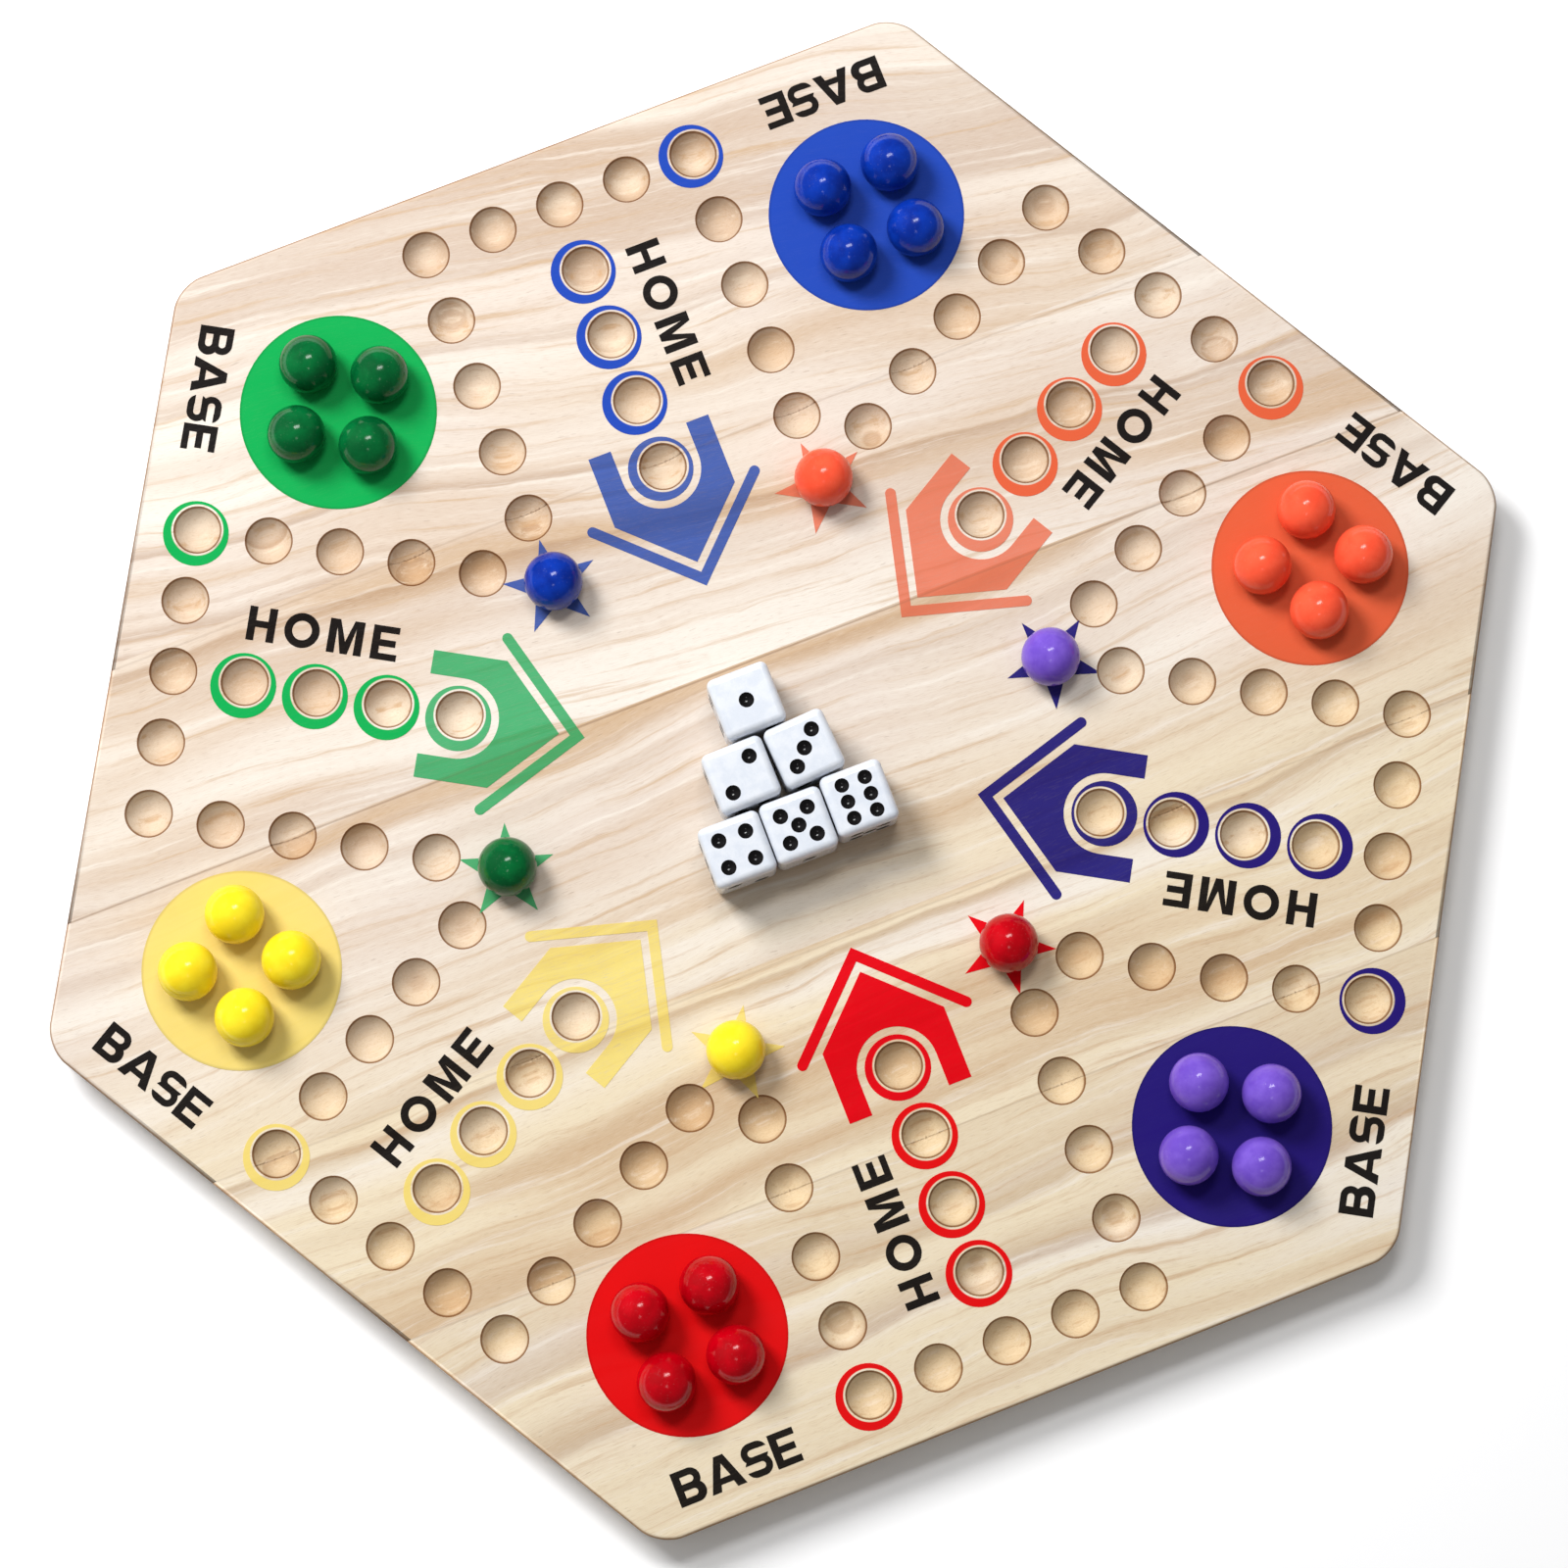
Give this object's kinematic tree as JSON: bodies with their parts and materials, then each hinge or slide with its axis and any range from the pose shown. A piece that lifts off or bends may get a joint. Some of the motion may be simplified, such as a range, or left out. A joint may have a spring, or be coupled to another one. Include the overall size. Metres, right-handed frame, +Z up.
{
  "type": "marble race board game",
  "caption": "Hexagonal six-player marble race board of edge-glued wood, with drilled marble holes, printed bases, home rows and stars, coloured marbles and dice.",
  "frame": {"origin": "centre of the board's underside, where it rests on a table", "axes": "+X along the wood grain, towards the orange base at one pointed corner; +Y across the grain, towards the flat side with the blue start row; +Z up, out of the playing face"},
  "size_m": [0.3754, 0.328, 0.0275],
  "materials": {
    "pale_wood": "pale pine under a thin satin varnish",
    "green_ink": "screen-printed ink, satin",
    "blue_ink": "screen-printed ink, satin",
    "orange_ink": "screen-printed ink, satin",
    "purple_ink": "screen-printed ink, satin",
    "red_ink": "screen-printed ink, satin",
    "yellow_ink": "screen-printed ink, satin",
    "black_ink": "screen-printed ink, satin",
    "green_glass": "opaque coloured glass, glossy",
    "blue_glass": "opaque coloured glass, glossy",
    "orange_glass": "opaque coloured glass, glossy",
    "purple_glass": "opaque coloured glass, glossy",
    "red_glass": "opaque coloured glass, glossy",
    "yellow_glass": "opaque coloured glass, glossy",
    "dice_white": "white, polished, with black painted pips"
  },
  "bodies": {
    "board": {"stave_1": "pale_wood", "stave_2": "pale_wood", "stave_3": "pale_wood", "stave_4": "pale_wood", "stave_5": "pale_wood", "green_print": "green_ink", "blue_print": "blue_ink", "orange_print": "orange_ink", "purple_print": "purple_ink", "red_print": "red_ink", "yellow_print": "yellow_ink", "zone_lettering": "black_ink"},
    "green_marble_1": {"green_marble_1": "green_glass"},
    "green_marble_2": {"green_marble_2": "green_glass"},
    "green_marble_3": {"green_marble_3": "green_glass"},
    "green_marble_4": {"green_marble_4": "green_glass"},
    "blue_marble_1": {"blue_marble_1": "blue_glass"},
    "blue_marble_2": {"blue_marble_2": "blue_glass"},
    "blue_marble_3": {"blue_marble_3": "blue_glass"},
    "blue_marble_4": {"blue_marble_4": "blue_glass"},
    "orange_marble_1": {"orange_marble_1": "orange_glass"},
    "orange_marble_2": {"orange_marble_2": "orange_glass"},
    "orange_marble_3": {"orange_marble_3": "orange_glass"},
    "orange_marble_4": {"orange_marble_4": "orange_glass"},
    "purple_marble_1": {"purple_marble_1": "purple_glass"},
    "purple_marble_2": {"purple_marble_2": "purple_glass"},
    "purple_marble_3": {"purple_marble_3": "purple_glass"},
    "purple_marble_4": {"purple_marble_4": "purple_glass"},
    "red_marble_1": {"red_marble_1": "red_glass"},
    "red_marble_2": {"red_marble_2": "red_glass"},
    "red_marble_3": {"red_marble_3": "red_glass"},
    "red_marble_4": {"red_marble_4": "red_glass"},
    "yellow_marble_1": {"yellow_marble_1": "yellow_glass"},
    "yellow_marble_2": {"yellow_marble_2": "yellow_glass"},
    "yellow_marble_3": {"yellow_marble_3": "yellow_glass"},
    "yellow_marble_4": {"yellow_marble_4": "yellow_glass"},
    "green_star_marble": {"green_star_marble": "green_glass"},
    "blue_star_marble": {"blue_star_marble": "blue_glass"},
    "orange_star_marble": {"orange_star_marble": "orange_glass"},
    "purple_star_marble": {"purple_star_marble": "purple_glass"},
    "red_star_marble": {"red_star_marble": "red_glass"},
    "yellow_star_marble": {"yellow_star_marble": "yellow_glass"},
    "die_1": {"die_1": "dice_white"},
    "die_2": {"die_2": "dice_white"},
    "die_3": {"die_3": "dice_white"},
    "die_4": {"die_4": "dice_white"},
    "die_5": {"die_5": "dice_white"},
    "die_6": {"die_6": "dice_white"}
  },
  "joints": [
    {"name": "green_marble_1_lift", "type": "slide", "parent": "board", "child": "green_marble_1", "axis": [0, 0, 1], "range_m": [0, 0.03]},
    {"name": "green_marble_2_lift", "type": "slide", "parent": "board", "child": "green_marble_2", "axis": [0, 0, 1], "range_m": [0, 0.03]},
    {"name": "green_marble_3_lift", "type": "slide", "parent": "board", "child": "green_marble_3", "axis": [0, 0, 1], "range_m": [0, 0.03]},
    {"name": "green_marble_4_lift", "type": "slide", "parent": "board", "child": "green_marble_4", "axis": [0, 0, 1], "range_m": [0, 0.03]},
    {"name": "blue_marble_1_lift", "type": "slide", "parent": "board", "child": "blue_marble_1", "axis": [0, 0, 1], "range_m": [0, 0.03]},
    {"name": "blue_marble_2_lift", "type": "slide", "parent": "board", "child": "blue_marble_2", "axis": [0, 0, 1], "range_m": [0, 0.03]},
    {"name": "blue_marble_3_lift", "type": "slide", "parent": "board", "child": "blue_marble_3", "axis": [0, 0, 1], "range_m": [0, 0.03]},
    {"name": "blue_marble_4_lift", "type": "slide", "parent": "board", "child": "blue_marble_4", "axis": [0, 0, 1], "range_m": [0, 0.03]},
    {"name": "orange_marble_1_lift", "type": "slide", "parent": "board", "child": "orange_marble_1", "axis": [0, 0, 1], "range_m": [0, 0.03]},
    {"name": "orange_marble_2_lift", "type": "slide", "parent": "board", "child": "orange_marble_2", "axis": [0, 0, 1], "range_m": [0, 0.03]},
    {"name": "orange_marble_3_lift", "type": "slide", "parent": "board", "child": "orange_marble_3", "axis": [0, 0, 1], "range_m": [0, 0.03]},
    {"name": "orange_marble_4_lift", "type": "slide", "parent": "board", "child": "orange_marble_4", "axis": [0, 0, 1], "range_m": [0, 0.03]},
    {"name": "purple_marble_1_lift", "type": "slide", "parent": "board", "child": "purple_marble_1", "axis": [0, 0, 1], "range_m": [0, 0.03]},
    {"name": "purple_marble_2_lift", "type": "slide", "parent": "board", "child": "purple_marble_2", "axis": [0, 0, 1], "range_m": [0, 0.03]},
    {"name": "purple_marble_3_lift", "type": "slide", "parent": "board", "child": "purple_marble_3", "axis": [0, 0, 1], "range_m": [0, 0.03]},
    {"name": "purple_marble_4_lift", "type": "slide", "parent": "board", "child": "purple_marble_4", "axis": [0, 0, 1], "range_m": [0, 0.03]},
    {"name": "red_marble_1_lift", "type": "slide", "parent": "board", "child": "red_marble_1", "axis": [0, 0, 1], "range_m": [0, 0.03]},
    {"name": "red_marble_2_lift", "type": "slide", "parent": "board", "child": "red_marble_2", "axis": [0, 0, 1], "range_m": [0, 0.03]},
    {"name": "red_marble_3_lift", "type": "slide", "parent": "board", "child": "red_marble_3", "axis": [0, 0, 1], "range_m": [0, 0.03]},
    {"name": "red_marble_4_lift", "type": "slide", "parent": "board", "child": "red_marble_4", "axis": [0, 0, 1], "range_m": [0, 0.03]},
    {"name": "yellow_marble_1_lift", "type": "slide", "parent": "board", "child": "yellow_marble_1", "axis": [0, 0, 1], "range_m": [0, 0.03]},
    {"name": "yellow_marble_2_lift", "type": "slide", "parent": "board", "child": "yellow_marble_2", "axis": [0, 0, 1], "range_m": [0, 0.03]},
    {"name": "yellow_marble_3_lift", "type": "slide", "parent": "board", "child": "yellow_marble_3", "axis": [0, 0, 1], "range_m": [0, 0.03]},
    {"name": "yellow_marble_4_lift", "type": "slide", "parent": "board", "child": "yellow_marble_4", "axis": [0, 0, 1], "range_m": [0, 0.03]},
    {"name": "green_star_marble_lift", "type": "slide", "parent": "board", "child": "green_star_marble", "axis": [0, 0, 1], "range_m": [0, 0.03]},
    {"name": "blue_star_marble_lift", "type": "slide", "parent": "board", "child": "blue_star_marble", "axis": [0, 0, 1], "range_m": [0, 0.03]},
    {"name": "orange_star_marble_lift", "type": "slide", "parent": "board", "child": "orange_star_marble", "axis": [0, 0, 1], "range_m": [0, 0.03]},
    {"name": "purple_star_marble_lift", "type": "slide", "parent": "board", "child": "purple_star_marble", "axis": [0, 0, 1], "range_m": [0, 0.03]},
    {"name": "red_star_marble_lift", "type": "slide", "parent": "board", "child": "red_star_marble", "axis": [0, 0, 1], "range_m": [0, 0.03]},
    {"name": "yellow_star_marble_lift", "type": "slide", "parent": "board", "child": "yellow_star_marble", "axis": [0, 0, 1], "range_m": [0, 0.03]},
    {"name": "die_1_lift", "type": "slide", "parent": "board", "child": "die_1", "axis": [0, 0, 1], "range_m": [0, 0.03]},
    {"name": "die_2_lift", "type": "slide", "parent": "board", "child": "die_2", "axis": [0, 0, 1], "range_m": [0, 0.03]},
    {"name": "die_3_lift", "type": "slide", "parent": "board", "child": "die_3", "axis": [0, 0, 1], "range_m": [0, 0.03]},
    {"name": "die_4_lift", "type": "slide", "parent": "board", "child": "die_4", "axis": [0, 0, 1], "range_m": [0, 0.03]},
    {"name": "die_5_lift", "type": "slide", "parent": "board", "child": "die_5", "axis": [0, 0, 1], "range_m": [0, 0.03]},
    {"name": "die_6_lift", "type": "slide", "parent": "board", "child": "die_6", "axis": [0, 0, 1], "range_m": [0, 0.03]}
  ]
}
